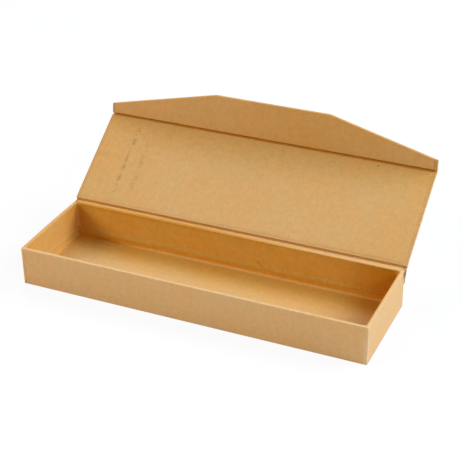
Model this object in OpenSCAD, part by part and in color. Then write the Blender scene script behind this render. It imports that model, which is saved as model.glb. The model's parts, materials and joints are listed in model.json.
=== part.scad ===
// A long brush box of paper-covered board, with a lid on a paper hinge and a flap on the lid.
// Origin: middle of the underside. X runs left to right, Y front to back, Z up.
// The box stands open: the lid leans back and the flap is turned in, as in ordinary use.

/* [Tray] */
// Outside length, left to right
tray_length = 360; // [300:1:420]
// Outside depth, front to back
tray_depth = 107; // [90:0.5:130]
// Outside height
tray_height = 40.5; // [34:0.5:60]

/* [Board and paper] */
// Thickness of the grey board in walls, lid and flap
board = 3; // [2:0.1:4]
// Thickness of the base board
base = 1.5; // [1:0.1:3]
// Thickness of the kraft paper with its glue
paper = 0.4; // [0.3:0.05:0.5]
// Thickness of the thinner paper that lines the tray
liner_paper = 0.25; // [0.2:0.05:0.3]
// Thickness of the gummed tape on the tray's corners
tape = 0.2; // [0.1:0.05:0.25]
// How far each tape reaches along a wall
tape_reach = 12; // [6:1:20]
// Outside radius of an edge that paper wraps round
edge_radius = 1.2; // [0.8:0.1:1.4]
// Outside radius of the tray's upright corners
corner_radius = 1.5; // [1:0.1:2]
// Inside radius of the rim
rim_radius = 0.8; // [0.5:0.1:0.9]
// How far the underside paper stays back from the outside
base_margin = 1; // [0.5:0.25:3]
// Height above the underside where the wrap ends inside the tray
wrap_foot = 8; // [5:0.5:12]
// How far the wrap laps over the turned-up edge of the tray's liner
wrap_lap = 6; // [3:0.5:8]
// How far the lid and flap liners stay back from the edges
liner_margin = 3; // [1.5:0.25:4]

/* [Lid] */
// How far the lid reaches past the tray at each end
lid_overhang = 0.8; // [0:0.1:2]
// How far the lid leans up from level, at rest
lid_angle = 34.2; // [20:0.1:70]
// Gap between the shut lid and the rim
lid_gap = 0.3; // [0.3:0.1:0.6]

/* [Hinge] */
// How far the hinge line lies behind the back wall
hinge_back = 1.2; // [1:0.1:2]
// How far the hinge line lies above the rim
hinge_up = 0.4; // [0.4:0.1:0.8]
// How far the shut lid's hinge edge lies inside the back wall's outer face
hinge_setback = 1.6; // [1:0.1:2]
// How far below the rim the outer hinge paper leaves the back wall
hinge_drop = 14; // [10:0.5:20]
// How far below the rim the inner hinge paper reaches down the back wall
strip_drop = 4; // [3:0.25:5]
// How far the hinge papers stay back from each end of the tray
hinge_margin = 0.5; // [0:0.25:3]
// Height of the spine paper's lower edge above the underside
spine_foot = 2; // [1:0.5:5]

/* [Flap] */
// How far the flap is turned in from the lid's plane, at rest
flap_angle = 48.6; // [20:0.1:80]
// Half of the gap between lid and flap when they lie flat
crease_gap = 0.85; // [0.6:0.05:1.2]
// Height of the flap at its ends, from the crease line
flap_side = 11.2; // [8:0.1:20]
// Height of the shut flap's free edge above the underside
flap_lift = 1.6; // [0.5:0.1:6]
// Gap between the shut flap and the front wall
flap_clearance = 0.65; // [0.4:0.05:1.5]
// Length of the flap's straight middle edge
flap_flat = 126; // [80:1:180]
// How far the middle edge lies to the right of the tray's middle
flap_shift = 3; // [0:0.5:6]

/* [Closure] */
// Diameter of the magnets and of the steel discs
magnet_d = 10; // [6:0.5:12]
// Thickness of a magnet in the front wall
magnet_t = 1.5; // [1:0.1:1.8]
// Thickness of a steel disc in the flap
disc_t = 1; // [0.5:0.1:1.5]
// Distance between the two magnets
magnet_spacing = 80; // [60:1:100]
// Height of the magnets above the underside
magnet_height = 15; // [12:0.5:20]
// Clearance round a magnet or disc in its pocket
pocket_clearance = 0.05; // [0.02:0.01:0.1]

/* [Hidden] */
$fn = 48;
// A length that clears any cut
past = 1;
// A wall, lid or flap: board between two papers
panel = board + 2 * paper;
tray_left = -tray_length / 2;
tray_front = -tray_depth / 2;
wall_y = tray_depth / 2;
// The boards' outside lies one paper inside the tray's outside
core_front = tray_front + paper;
well_length = tray_length - 2 * (paper + board);
well_depth = tray_depth - 2 * (paper + board);
floor_height = paper + base;
liner_top = wrap_foot + wrap_lap;
// Room left inside the covered walls
room_length = tray_length - 2 * panel;
room_depth = tray_depth - 2 * panel;

// Hinge line, and the lid as measured from it
hinge_y = tray_depth / 2 + hinge_back;
hinge_z = tray_height + hinge_up;
lid_start = hinge_back + hinge_setback;
lid_depth = tray_depth - hinge_setback + flap_clearance - crease_gap;
lid_end = lid_start + lid_depth;
lid_inner = hinge_up - lid_gap;
lid_outer = lid_inner - panel;
lid_length = tray_length + 2 * lid_overhang;

// Crease line, in the lid's own axes, and the flap's height from it
crease_y = lid_end + crease_gap;
crease_z = lid_inner;
flap_height = tray_height + lid_gap - flap_lift;
// Centre line and outer radius of the paper bend that joins lid and flap
bend_rise = crease_gap / tan(flap_angle / 2);
bend_radius = panel + bend_rise;

// Outer corner of the lid's hinge edge, and steps up that edge, in the tray's axes
lid_foot = [
    hinge_y + lid_start * cos(lid_angle) - lid_outer * sin(lid_angle),
    hinge_z + lid_start * sin(lid_angle) + lid_outer * cos(lid_angle)
];
edge_step = [-paper * sin(lid_angle), paper * cos(lid_angle)];

// The outer hinge paper is an arc that leaves the back wall upright and ends at the lid's foot
leave_z = tray_height - hinge_drop;
foot_dy = lid_foot[0] - (wall_y + paper);
foot_dz = lid_foot[1] - leave_z;
sweep_radius = (foot_dy * foot_dy + foot_dz * foot_dz) / (2 * foot_dy);
sweep_centre = wall_y + paper + sweep_radius;
paper_length = tray_length - 2 * hinge_margin;

// The magnets face the discs when the box is shut
magnet_x = magnet_spacing / 2;
disc_reach = tray_height + lid_gap - magnet_height;

kraft = [0.80, 0.64, 0.43];
kraft_light = [0.86, 0.71, 0.50];
kraft_dark = [0.70, 0.53, 0.33];
grey_board = [0.58, 0.55, 0.50];
tape_tan = [0.74, 0.60, 0.40];
magnet_grey = [0.55, 0.56, 0.58];
steel_grey = [0.66, 0.67, 0.69];

// A rectangle round the origin with corners of radius r, or sharp ones where r is 0
module slab(width, height, r) {
    if (r > 0) {
        square([width - 2 * r, height], center = true);
        square([width, height - 2 * r], center = true);
        for (x = [-1, 1], y = [-1, 1])
            translate([x * (width / 2 - r), y * (height / 2 - r)])
                circle(r = r);
    } else {
        square([width, height], center = true);
    }
}

// A box given by its two corners
module block(low, high) {
    translate(low)
        cube(high - low);
}

// Stretches a drawing in Y and Z along X, round the middle of the tray
module along_x(length) {
    rotate([90, 0, 90])
        linear_extrude(length, center = true)
            children();
}

// The axes of the lid: Y runs from the hinge to the crease and Z out of the inner face
module on_lid() {
    translate([0, hinge_y, hinge_z])
        rotate([lid_angle, 0, 0])
            children();
}

// The axes of the flap: Y runs from the crease to the free edge
module on_flap() {
    on_lid()
        translate([0, crease_y, crease_z])
            rotate([flap_angle, 0, 0])
                children();
}

// The tray's outside, drawn in by inset: rounded upright corners and rounded top edges
module tray_form(inset) {
    height = tray_height - inset - paper;
    intersection() {
        translate([0, 0, paper])
            linear_extrude(height)
                slab(tray_length - 2 * inset, tray_depth - 2 * inset, corner_radius - inset);
        along_x(tray_length)
            translate([0, paper])
                slab(tray_depth - 2 * inset, 2 * height, edge_radius - inset);
        rotate([90, 0, 0])
            linear_extrude(tray_depth, center = true)
                translate([0, paper])
                    slab(tray_length - 2 * inset, 2 * height, edge_radius - inset);
    }
}

// What the boards enclose, from below the base to above the rim
module well() {
    translate([0, 0, tray_height / 2])
        cube([well_length, well_depth, tray_height + 2 * past], center = true);
}

// The walls' boards as one ring, cut into four by the nodes
module wall_ring() {
    difference() {
        tray_form(paper);
        well();
    }
}

// A bar that cuts the inner edge of the rim round: a square less a quarter of a circle
module rim_cutter(length) {
    along_x(length)
        difference() {
            translate([-past, 0])
                square([rim_radius + past, rim_radius + past]);
            translate([rim_radius, 0])
                circle(r = rim_radius);
        }
}

// The open inside of the tray with its rounded mouth
module room() {
    mouth = tray_height - rim_radius;
    translate([0, 0, floor_height + tray_height / 2])
        cube([room_length, room_depth, tray_height], center = true);
    for (turn = [0, 180])
        rotate([0, 0, turn]) {
            translate([0, room_depth / 2, mouth])
                rim_cutter(room_length);
            translate([room_length / 2, 0, mouth])
                rotate([0, 0, -90])
                    rim_cutter(room_depth);
        }
}

// Two discs side by side, sunk from the plane Z = 0
module disc_pair(thickness) {
    for (side = [-1, 1])
        translate([side * magnet_x, 0, -thickness])
            cylinder(d = magnet_d, h = thickness);
}

// The blind pockets that hold them
module pocket_pair(thickness) {
    depth = thickness + pocket_clearance;
    for (side = [-1, 1])
        translate([side * magnet_x, 0, -depth])
            cylinder(d = magnet_d + 2 * pocket_clearance, h = depth + past);
}

// The outer face of the front board, with Z out of it
module on_front() {
    translate([0, core_front, magnet_height])
        rotate([90, 0, 0])
            children();
}

// The inner face of the flap board where the discs lie, with Z out of it
module on_disc_face() {
    on_flap()
        translate([0, disc_reach, -paper])
            children();
}

// The lid as a panel drawn in by inset, with rounded ends
module lid_form(inset) {
    translate([0, lid_end - inset, (lid_inner + lid_outer) / 2])
        rotate([90, 0, 0])
            linear_extrude(lid_depth - 2 * inset)
                slab(lid_length - 2 * inset, panel - 2 * inset, edge_radius - inset);
}

// A wide strip that ends at the X axis with a rounded edge drawn in by inset
module edge_strip(inset, thickness, r) {
    reach = lid_length;
    translate([0, -reach / 2 - inset, -panel / 2])
        rotate([90, 0, 90])
            linear_extrude(2 * lid_length, center = true)
                slab(reach, thickness, r);
}

// The flap's outline drawn in by inset, as the part that its strips share
module flap_outline(inset, thickness, r) {
    half = lid_length / 2;
    rise = flap_height - flap_side;
    run_left = half - flap_flat / 2 + flap_shift;
    run_right = half - flap_flat / 2 - flap_shift;
    intersection() {
        translate([0, flap_height, -panel / 2])
            rotate([90, 0, 0])
                linear_extrude(flap_height - crease_gap - inset)
                    slab(lid_length - 2 * inset, thickness, r);
        translate([0, flap_height, 0])
            edge_strip(inset, thickness, r);
        translate([-half, flap_side, 0])
            rotate([0, 0, atan2(rise, run_left)])
                edge_strip(inset, thickness, r);
        translate([half, flap_side, 0])
            rotate([0, 0, -atan2(rise, run_right)])
                edge_strip(inset, thickness, r);
    }
}

module flap_form(inset) {
    flap_outline(inset, panel - 2 * inset, edge_radius - inset);
}

module base_paper() {
    color(kraft_dark)
        linear_extrude(paper)
            slab(
                tray_length - 2 * base_margin,
                tray_depth - 2 * base_margin,
                corner_radius
            );
}

module base_board() {
    color(grey_board)
        block(
            [-well_length / 2, -well_depth / 2, paper],
            [well_length / 2, well_depth / 2, floor_height]
        );
}

module front_board() {
    color(grey_board)
        difference() {
            intersection() {
                wall_ring();
                block(
                    [tray_left, tray_front, 0],
                    [-tray_left, -well_depth / 2, tray_height]
                );
            }
            on_front()
                pocket_pair(magnet_t);
        }
}

module back_board() {
    color(grey_board)
        intersection() {
            wall_ring();
            block([tray_left, well_depth / 2, 0], [-tray_left, -tray_front, tray_height]);
        }
}

// An end board stands between the front and back boards
module end_board() {
    color(grey_board)
        intersection() {
            wall_ring();
            block(
                [tray_left, -well_depth / 2, 0],
                [-well_length / 2, well_depth / 2, tray_height]
            );
        }
}

module left_board() {
    end_board();
}

module right_board() {
    mirror([1, 0, 0])
        end_board();
}

// Gummed tapes folded round the upright corners, under the wrap
module corner_stays() {
    top = tray_height - edge_radius - paper;
    color(tape_tan)
        for (x = [0, 1], y = [0, 1])
            mirror([x, 0, 0])
                mirror([0, y, 0])
                    intersection() {
                        difference() {
                            tray_form(paper - tape);
                            tray_form(paper);
                        }
                        block(
                            [tray_left, tray_front, paper],
                            [tray_left + tape_reach, tray_front + tape_reach, top]
                        );
                    }
}

// The liner's sheet on the base board, turned up against the four walls
module liner_form() {
    x = well_length / 2;
    y = well_depth / 2;
    difference() {
        block([-x, -y, floor_height], [x, y, liner_top]);
        block(
            [liner_paper - x, liner_paper - y, floor_height + liner_paper],
            [x - liner_paper, y - liner_paper, liner_top + past]
        );
    }
}

// One skin of paper: up the outside, over the rim and down the inside, where it laps the liner
module tray_wrap() {
    color(kraft)
        difference() {
            tray_form(0);
            wall_ring();
            block(
                [-well_length / 2, -well_depth / 2, 0],
                [well_length / 2, well_depth / 2, wrap_foot]
            );
            room();
            corner_stays();
            liner_form();
        }
}

module floor_liner() {
    color(kraft_light)
        liner_form();
}

module closure_magnets() {
    color(magnet_grey)
        on_front()
            disc_pair(magnet_t);
}

module spine_paper() {
    color(kraft_dark)
        block(
            [-paper_length / 2, wall_y, spine_foot],
            [paper_length / 2, wall_y + paper, leave_z]
        );
}

// Part of a ring, between the height where it leaves the wall and the lid's hinge edge
module hinge_outer_paper() {
    color(kraft_dark)
        intersection() {
            translate([0, sweep_centre, leave_z])
                along_x(paper_length)
                    difference() {
                        circle(r = sweep_radius + paper);
                        circle(r = sweep_radius);
                    }
            block(
                [-tray_length, wall_y - past, leave_z],
                [tray_length, sweep_centre, tray_height]
            );
            on_lid()
                block(
                    [-tray_length, -tray_depth, -tray_depth],
                    [tray_length, lid_start, tray_depth]
                );
        }
}

// A strip down the back wall, bent over behind the rim to meet the lid's hinge edge
module hinge_inner_paper() {
    top = tray_height - edge_radius / 2 + paper / 2;
    color(kraft)
        along_x(paper_length)
            polygon([
                [wall_y, tray_height - strip_drop],
                [wall_y + paper, tray_height - strip_drop],
                [wall_y + paper, top - paper],
                lid_foot + edge_step,
                lid_foot + 2 * edge_step,
                [wall_y, top]
            ]);
}

module lid_board() {
    color(grey_board)
        on_lid()
            lid_form(paper);
}

// The liner's place on the lid's inner face
module lid_liner_form() {
    x = lid_length / 2 - liner_margin;
    block(
        [-x, lid_start + liner_margin, lid_inner - paper],
        [x, lid_end - liner_margin, lid_inner]
    );
}

module lid_wrap() {
    color(kraft)
        on_lid()
            difference() {
                lid_form(0);
                lid_form(paper);
                lid_liner_form();
            }
}

module lid_liner() {
    color(kraft_light)
        on_lid()
            lid_liner_form();
}

// The paper bend on the outer side of the crease, tangent to both outer faces
module crease_paper() {
    color(kraft_dark)
        on_lid()
            translate([0, lid_end, crease_z + bend_rise])
                rotate([0, 90, 0])
                    rotate_extrude(angle = flap_angle)
                        translate([bend_radius - paper, -lid_length / 2 + edge_radius])
                            square([paper, lid_length - 2 * edge_radius]);
}

module flap_board() {
    color(grey_board)
        difference() {
            on_flap()
                flap_form(paper);
            on_disc_face()
                pocket_pair(disc_t);
        }
}

// The liner's place on the flap's inner face
module flap_liner_form() {
    intersection() {
        flap_outline(liner_margin, panel, 0);
        block(
            [-tray_length, 0, -paper],
            [tray_length, flap_height, 0]
        );
    }
}

module flap_wrap() {
    color(kraft)
        on_flap()
            difference() {
                flap_form(0);
                flap_form(paper);
                flap_liner_form();
            }
}

module flap_liner() {
    color(kraft_light)
        on_flap()
            flap_liner_form();
}

module flap_discs() {
    color(steel_grey)
        on_disc_face()
            disc_pair(disc_t);
}

base_paper();
base_board();
front_board();
back_board();
left_board();
right_board();
corner_stays();
tray_wrap();
floor_liner();
closure_magnets();
spine_paper();
hinge_outer_paper();
hinge_inner_paper();
lid_board();
lid_wrap();
lid_liner();
crease_paper();
flap_board();
flap_wrap();
flap_liner();
flap_discs();
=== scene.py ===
# A long brush box of board covered in kraft paper, with a hinged lid and a flap.
# Lengths are in metres and angles in radians, unless a name or a comment says otherwise.
import json
import math

import bmesh
import bpy
import numpy as np
from mathutils import Matrix, Vector


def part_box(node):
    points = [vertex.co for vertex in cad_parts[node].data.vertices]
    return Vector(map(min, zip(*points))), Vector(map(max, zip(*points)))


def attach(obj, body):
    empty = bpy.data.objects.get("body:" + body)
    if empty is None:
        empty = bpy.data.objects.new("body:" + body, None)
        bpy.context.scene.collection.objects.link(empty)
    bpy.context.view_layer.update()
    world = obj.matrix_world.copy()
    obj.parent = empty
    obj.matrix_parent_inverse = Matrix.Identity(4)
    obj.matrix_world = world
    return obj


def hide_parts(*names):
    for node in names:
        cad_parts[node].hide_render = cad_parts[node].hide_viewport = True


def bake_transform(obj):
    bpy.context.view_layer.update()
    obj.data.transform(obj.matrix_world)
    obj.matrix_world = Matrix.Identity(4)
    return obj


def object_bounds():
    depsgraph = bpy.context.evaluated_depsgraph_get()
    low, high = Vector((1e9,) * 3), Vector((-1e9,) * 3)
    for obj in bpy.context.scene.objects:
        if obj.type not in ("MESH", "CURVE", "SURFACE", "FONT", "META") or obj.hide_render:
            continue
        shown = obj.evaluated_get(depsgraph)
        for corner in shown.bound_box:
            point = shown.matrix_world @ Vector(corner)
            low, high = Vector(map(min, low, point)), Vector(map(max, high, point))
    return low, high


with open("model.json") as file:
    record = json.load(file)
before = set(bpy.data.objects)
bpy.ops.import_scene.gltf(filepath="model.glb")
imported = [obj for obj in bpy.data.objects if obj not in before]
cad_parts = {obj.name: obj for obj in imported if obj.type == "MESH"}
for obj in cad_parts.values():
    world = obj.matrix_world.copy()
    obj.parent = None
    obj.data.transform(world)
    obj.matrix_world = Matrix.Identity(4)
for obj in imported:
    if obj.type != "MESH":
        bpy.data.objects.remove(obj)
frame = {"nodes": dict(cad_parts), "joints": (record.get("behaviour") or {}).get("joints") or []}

MM = 0.001
cad_low, cad_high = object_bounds()


# Axes: the part's own, the lid's from its hinge line, and the flap's from its crease line

def joint(name):
    return next(j for j in frame["joints"] if j["name"] == name)


def turned_axes(origin, angle):
    """Origin and turn about X of a set of axes, a pair that placed() and seen_from() take."""
    c, s = math.cos(angle), math.sin(angle)
    return np.array(origin, float), np.array([[1, 0, 0], [0, c, -s], [0, s, c]])


def placed(axes, points):
    """Points given in other axes, in the part's frame."""
    origin, turn = axes
    return np.asarray(points, float) @ turn.T + origin


def seen_from(axes, node):
    """The vertices of a CAD node in other axes."""
    origin, turn = axes
    points = np.array([v.co for v in frame["nodes"][node].data.vertices], float)
    return (points - origin) @ turn


lid_joint = joint("lid_hinge")
flap_joint = joint("flap_crease")
lid_lean = math.pi - math.radians(lid_joint["range_deg"][1])
flap_turn = -math.radians(flap_joint["range_deg"][0])
PART_AXES = turned_axes((0, 0, 0), 0)
LID_AXES = turned_axes(lid_joint["pos_m"], lid_lean)
FLAP_AXES = turned_axes(flap_joint["pos_m"], lid_lean + flap_turn)


# Sizes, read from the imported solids

TINY = 0.01 * MM
wrap_low, wrap_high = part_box("tray_wrap")
board_low, board_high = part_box("left_board")
base_low, base_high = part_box("base_paper")
liner_low, liner_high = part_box("floor_liner")
spine_low, spine_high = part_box("spine_paper")
paper = base_high.z - base_low.z
board = board_high.x - board_low.x
panel = board + 2 * paper
# The tray's outer faces, its rim and the inner faces of its walls, from its middle and underside
outer_x, outer_y, rim_z = wrap_high
inner_x, inner_y = outer_x - panel, outer_y - panel

lid_points = seen_from(LID_AXES, "lid_wrap")
flap_points = seen_from(FLAP_AXES, "flap_wrap")
lid_half, lid_end, lid_top = lid_points.max(0)
_, lid_start, lid_bottom = lid_points.min(0)
liner_margin = lid_half - seen_from(LID_AXES, "lid_liner").max(0)[0]
flap_half, flap_height, flap_top = flap_points.max(0)
_, flap_start, flap_bottom = flap_points.min(0)
at_tip = flap_points[flap_points[:, 1] > flap_height - TINY][:, 0]
flat_left, flat_right = at_tip.min(), at_tip.max()
flap_side = flap_points[flap_points[:, 0] > flap_half - TINY][:, 1].max()


# How the paper is laid on the boards

LINER_PAPER = 0.25 * MM
floor_top = liner_low.z + LINER_PAPER
WRAP_FOOT = 8 * MM
UNDER_RADIUS = 0.25 * MM
OUTER_RADIUS = 1.1 * MM
INNER_RADIUS = 0.9 * MM
UPRIGHT_RADIUS = 1.3 * MM
RIM_CORNER = 0.6 * MM
BACK_CORNER = 0.5 * MM
LEAST_CORNER = 0.3 * MM
INSIDE_CORNER = 1.3 * MM
MOUTH_CORNER = 2.6 * MM
MOUTH_DEPTH = 8 * MM
BOARD_ROUND = 0.8 * MM
FOLD_RADIUS = 1.0 * MM
PANEL_RADIUS = 0.68 * MM
SKIN = 0.36 * MM
LEAST_RELIEF = 0.03 * MM
RELIEF = 0.13 * MM
LINER_RELIEF = 0.12 * MM
SHEET_RELIEF = 0.06 * MM
RIPPLE_SHARES = (0.65, 0.35)
STATION = 4 * MM
WELD = 0.001 * MM
ARC_STEPS = 5
WAVES = 9
WAVE_SPREAD = (0.7, 1.5)


def ripple(points, wavelength, seed):
    """Smooth bumps between about -1 and 1: a sum of seeded waves in all directions."""
    rng = np.random.default_rng(seed)
    total = np.zeros(len(points))
    for _ in range(WAVES):
        way = rng.normal(size=3)
        way *= 2 * math.pi / (wavelength * rng.uniform(*WAVE_SPREAD) * np.linalg.norm(way))
        total += np.sin(points @ way + rng.uniform(0, 2 * math.pi))
    return np.clip(total / math.sqrt(WAVES), -1, 1)


def arc(centre, radius, start, end, steps=ARC_STEPS):
    """Points on part of a circle, with the angles in degrees."""
    angles = np.radians(np.linspace(start, end, steps + 1))
    return [(centre[0] + radius * math.cos(a), centre[1] + radius * math.sin(a)) for a in angles]


def line(a, b, steps):
    """Points between a and b, without the ends."""
    return [tuple(np.array(a) + (np.array(b) - np.array(a)) * k / steps) for k in range(1, steps)]


def grid_faces(rows, columns, close_rows=False, close_columns=False):
    """Quads between the points of a grid that is stored row by row."""
    i = np.arange(rows * columns).reshape(rows, columns)
    i = np.pad(i, ((0, int(close_rows)), (0, int(close_columns))), mode="wrap")
    return np.stack([i[:-1, :-1], i[:-1, 1:], i[1:, 1:], i[1:, :-1]], axis=-1).reshape(-1, 4).tolist()


def smooth(share):
    share = np.clip(share, 0, 1)
    return share * share * (3 - 2 * share)


def rise(value, start, end):
    """A smooth step, from 0 at start to 1 at end."""
    return smooth((value - start) / (end - start))


class Shell:
    """A closed surface. Each point has a share of wear and painted highlight, of deeper colour that
    paints shade, of relief and of painted shade.
    """

    def __init__(self, points, faces, wear_and_highlight=0.0, deep_shade=0.0, press=1.0, shade=0.0, relief=0.0,
                 inside=False):
        count = len(points)
        self.points = np.asarray(points, float)
        self.faces = faces
        self.shares = np.column_stack([np.broadcast_to(s, count) for s in (wear_and_highlight, deep_shade, press, shade)])
        self.relief = relief
        self.inside = inside


def new_object(name, data):
    obj = bpy.data.objects.new(name, data)
    bpy.context.scene.collection.objects.link(obj)
    return obj


def piece(name, shells, axes, material, seed, ripples=(70 * MM, 22 * MM)):
    """One object of welded shells. The relief presses the paper in along its normals."""
    mesh = bpy.data.meshes.new(name)
    whole = bmesh.new()
    kept = [whole.verts.layers.float.new(n) for n in ("wear_and_highlight", "deep_shade", "shade")]
    for shell in shells:
        part = bmesh.new()
        layers = [part.verts.layers.float.new(n) for n in ("wear_and_highlight", "deep_shade", "press", "shade")]
        verts = [part.verts.new(p) for p in placed(axes, shell.points)]
        for v, shares in zip(verts, shell.shares):
            for layer, share in zip(layers, shares):
                v[layer] = share
        for f in shell.faces:
            part.faces.new([verts[i] for i in f])
        bmesh.ops.remove_doubles(part, verts=part.verts, dist=WELD)
        bmesh.ops.dissolve_degenerate(part, edges=part.edges, dist=WELD / 10)
        bmesh.ops.recalc_face_normals(part, faces=part.faces)
        if shell.inside:
            bmesh.ops.reverse_faces(part, faces=part.faces)
        part.normal_update()
        if shell.relief:
            co = np.array([v.co for v in part.verts], float)
            waves = [ripple(co, length, seed + k) for k, length in enumerate(ripples)]
            wave = RIPPLE_SHARES[0] * waves[0] + RIPPLE_SHARES[1] * waves[1]
            for v, depth in zip(part.verts, LEAST_RELIEF + shell.relief * (0.5 + 0.5 * wave)):
                v.co -= v.normal * float(depth) * v[layers[2]]
        index = {}
        for v in part.verts:
            new = whole.verts.new(v.co)
            for layer, source in zip(kept, (layers[0], layers[1], layers[3])):
                new[layer] = v[source]
            index[v] = new
        for f in part.faces:
            whole.faces.new([index[v] for v in f.verts])
        part.free()
    whole.to_mesh(mesh)
    whole.free()
    mesh.shade_smooth()
    mesh.materials.append(material)
    return new_object(name, mesh)


# Sweeps round the tray

LONG_STEPS, SHORT_STEPS = round(2 * outer_x / STATION), round(2 * outer_y / STATION)


def ring(inset, radius):
    """A rectangle with round corners inside the tray's outline, from its front right corner on."""
    x, y = outer_x - inset - radius, outer_y - inset - radius
    corners = [(x, -y, -90), (x, y, 0), (-x, y, 90), (-x, -y, 180)]
    bends = [arc((cx, cy), radius, start, start + 90) for cx, cy, start in corners]
    points = []
    for bend, after, steps in zip(bends, bends[1:] + bends[:1], (SHORT_STEPS, LONG_STEPS) * 2):
        points += [*bend, *line(bend[-1], after[0], steps)]
    return np.array(points)


def sweep(profile, close, paint, relief, lift=None):
    """A shell round the tray. Its profile has rows of inset, height, corner radius, wear with painted
    highlight, deeper colour of painted shade, press.
    """
    rows, shares = [], []
    for inset, height, radius, *share in profile:
        flat = ring(inset, radius)
        z = np.full(len(flat), height)
        if lift:
            z = lift(flat, z, inset)
        rows.append(np.column_stack([flat, z]))
        shares.append(np.column_stack(np.broadcast_arrays(*paint(flat, z, inset, *share))))
    faces = grid_faces(len(rows), len(rows[0]), close_rows=close, close_columns=True)
    return Shell(np.concatenate(rows), faces, *np.concatenate(shares).T, relief=relief)


CORNER_WEAR_AND_HIGHLIGHT = 0.78
LEFT_CORNER_SHARE = 0.5
CORNER_REACH = 2.0 * MM
CORNER_WOBBLE = 0.6 * MM
CORNER_WAVE = 4.1 * MM
CRUSH_HEIGHT = 12 * MM
CRUSH_SPREAD = 7 * MM
CRUSH_REACH = 2.0 * MM


def upright_wear_and_highlight(flat, z, inset):
    """The paper at the tray's front corners is paler, most on the right one: rubbed, and with a painted
    highlight where the crushed right corner turns to the light from the right.
    """
    if inset > OUTER_RADIUS:
        return np.zeros(len(flat))
    x, y = flat.T
    away = np.hypot(outer_x - np.abs(x), outer_y - np.abs(y))
    reach = CORNER_REACH + CORNER_WOBBLE * np.sin(z / CORNER_WAVE + 3 * x / outer_x)
    reach = reach + CRUSH_REACH * np.exp(-((z - CRUSH_HEIGHT) / CRUSH_SPREAD) ** 2) * (x > 0)
    share = np.clip(2 * (1 - away / reach), 0, 1) * (y < 0)
    return CORNER_WEAR_AND_HIGHLIGHT * share * np.where(x > 0, 1, LEFT_CORNER_SHARE)


# Shares for the front, right, back and left side. Rim paleness is wear and painted sheen, the deeper
# colours are painted shade, and the fold's paleness is wear and a painted highlight.
RIM_WEAR_AND_SHEEN = np.array([1.0, 0.75, 0.5, 0.15])
RIM_DEEP_SHADE = np.array([0.0, 0.0, 0.3, 0.4])
WALL_DEEP_SHADE = np.array([1.0, 1.0, 1.0, 0.6])
FOLD_WEAR_AND_HIGHLIGHT = np.array([0.3, 0.3, 0.42, 0.05])
END_DEEPER_SHADE = 2.5
# Between these places along X the back rim and the hinge get paler to the right: painted light. Left of
# them the back rim gets painted shade.
PALER_SPAN = (-60 * MM, 150 * MM)
BACK_RIM_DEEP_SHADE = 0.7
BACK_RIM_SHADE = 0.5
# Painted shade along the wrap's bottom edge
UNDER_SHADE = 0.8
# Painted light: a paler strip on the floor near the front wall
PAINTED_FLOOR_LIGHT = 0.3
PALE_FRONT = (5 * MM, 35 * MM)
PALE_RIGHT = (-80 * MM, 40 * MM)
# Painted shade on the floor, deeper towards the back wall, on the turned-up liner, and towards the tray's
# right end and back left corner
NEAR_SHADE = 0.15
FAR_DEEP_SHADE = 0.9
TURNED_SHADE = 0.6
END_REACH = 75 * MM
CORNER_SHADE_REACH = Vector((28 * MM, 34 * MM))
CORNER_SHADE = 0.55
BACK_REACH = 46 * MM
# Where the fold's painted highlight starts on the back wall, and where the painted shade in the fold near
# the left end runs
FOLD_LINE = (-105 * MM, -65 * MM)
FOLD_SHADE_END = -136 * MM
FOLD_SHADE_GONE = -110 * MM
FOLD_WIDTH = 0.9 * MM
FOLD_DEPTH = 3 * MM
FOLD_FADE = 8 * MM
FOLD_RISE = (5.8 * MM, 3.4 * MM)


def nearest_side(flat):
    x, y = flat.T
    return np.argmin([outer_y + y, outer_x - x, outer_y - y, outer_x + x], axis=0)


def corner_shade(flat):
    """Painted shade, darker towards the right end of the tray and in its back left corner."""
    x, y = flat.T
    right = rise(x, inner_x - END_REACH, inner_x)
    back = rise(y, inner_y - CORNER_SHADE_REACH.y, inner_y)
    left = rise(-x, inner_x - CORNER_SHADE_REACH.x, inner_x)
    return np.maximum(right, CORNER_SHADE * back * left)


def paint_wrap(flat, z, inset, wear_and_highlight, deep_shade, press):
    """The shares of wear and painted highlight, of deeper colour for painted shade, of relief and of
    painted shade on the tray's wrap.
    """
    side = nearest_side(flat)
    paler_to_right = rise(flat[:, 0], *PALER_SPAN)
    pale_shares = wear_and_highlight * RIM_WEAR_AND_SHEEN[side] * np.where(side == 2, paler_to_right, 1)
    pale_shares = pale_shares + (1 - pale_shares) * upright_wear_and_highlight(flat, z, inset)
    on_rim = z > rim_z - OUTER_RADIUS
    shaded_back_rim = (1 - paler_to_right) * on_rim * (side == 2)
    deep_shade_shares = np.where(side % 2 == 1, min(1.0, END_DEEPER_SHADE * deep_shade), deep_shade) * WALL_DEEP_SHADE[side]
    deep_shade_shares = np.maximum(deep_shade_shares, RIM_DEEP_SHADE[side] * on_rim + BACK_RIM_DEEP_SHADE * shaded_back_rim)
    under = UNDER_SHADE * (z < wrap_low.z + UNDER_RADIUS)
    shade = corner_shade(flat) if inset > panel - TINY else under
    return pale_shares, deep_shade_shares, press, np.maximum(shade, BACK_RIM_SHADE * shaded_back_rim)


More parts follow.
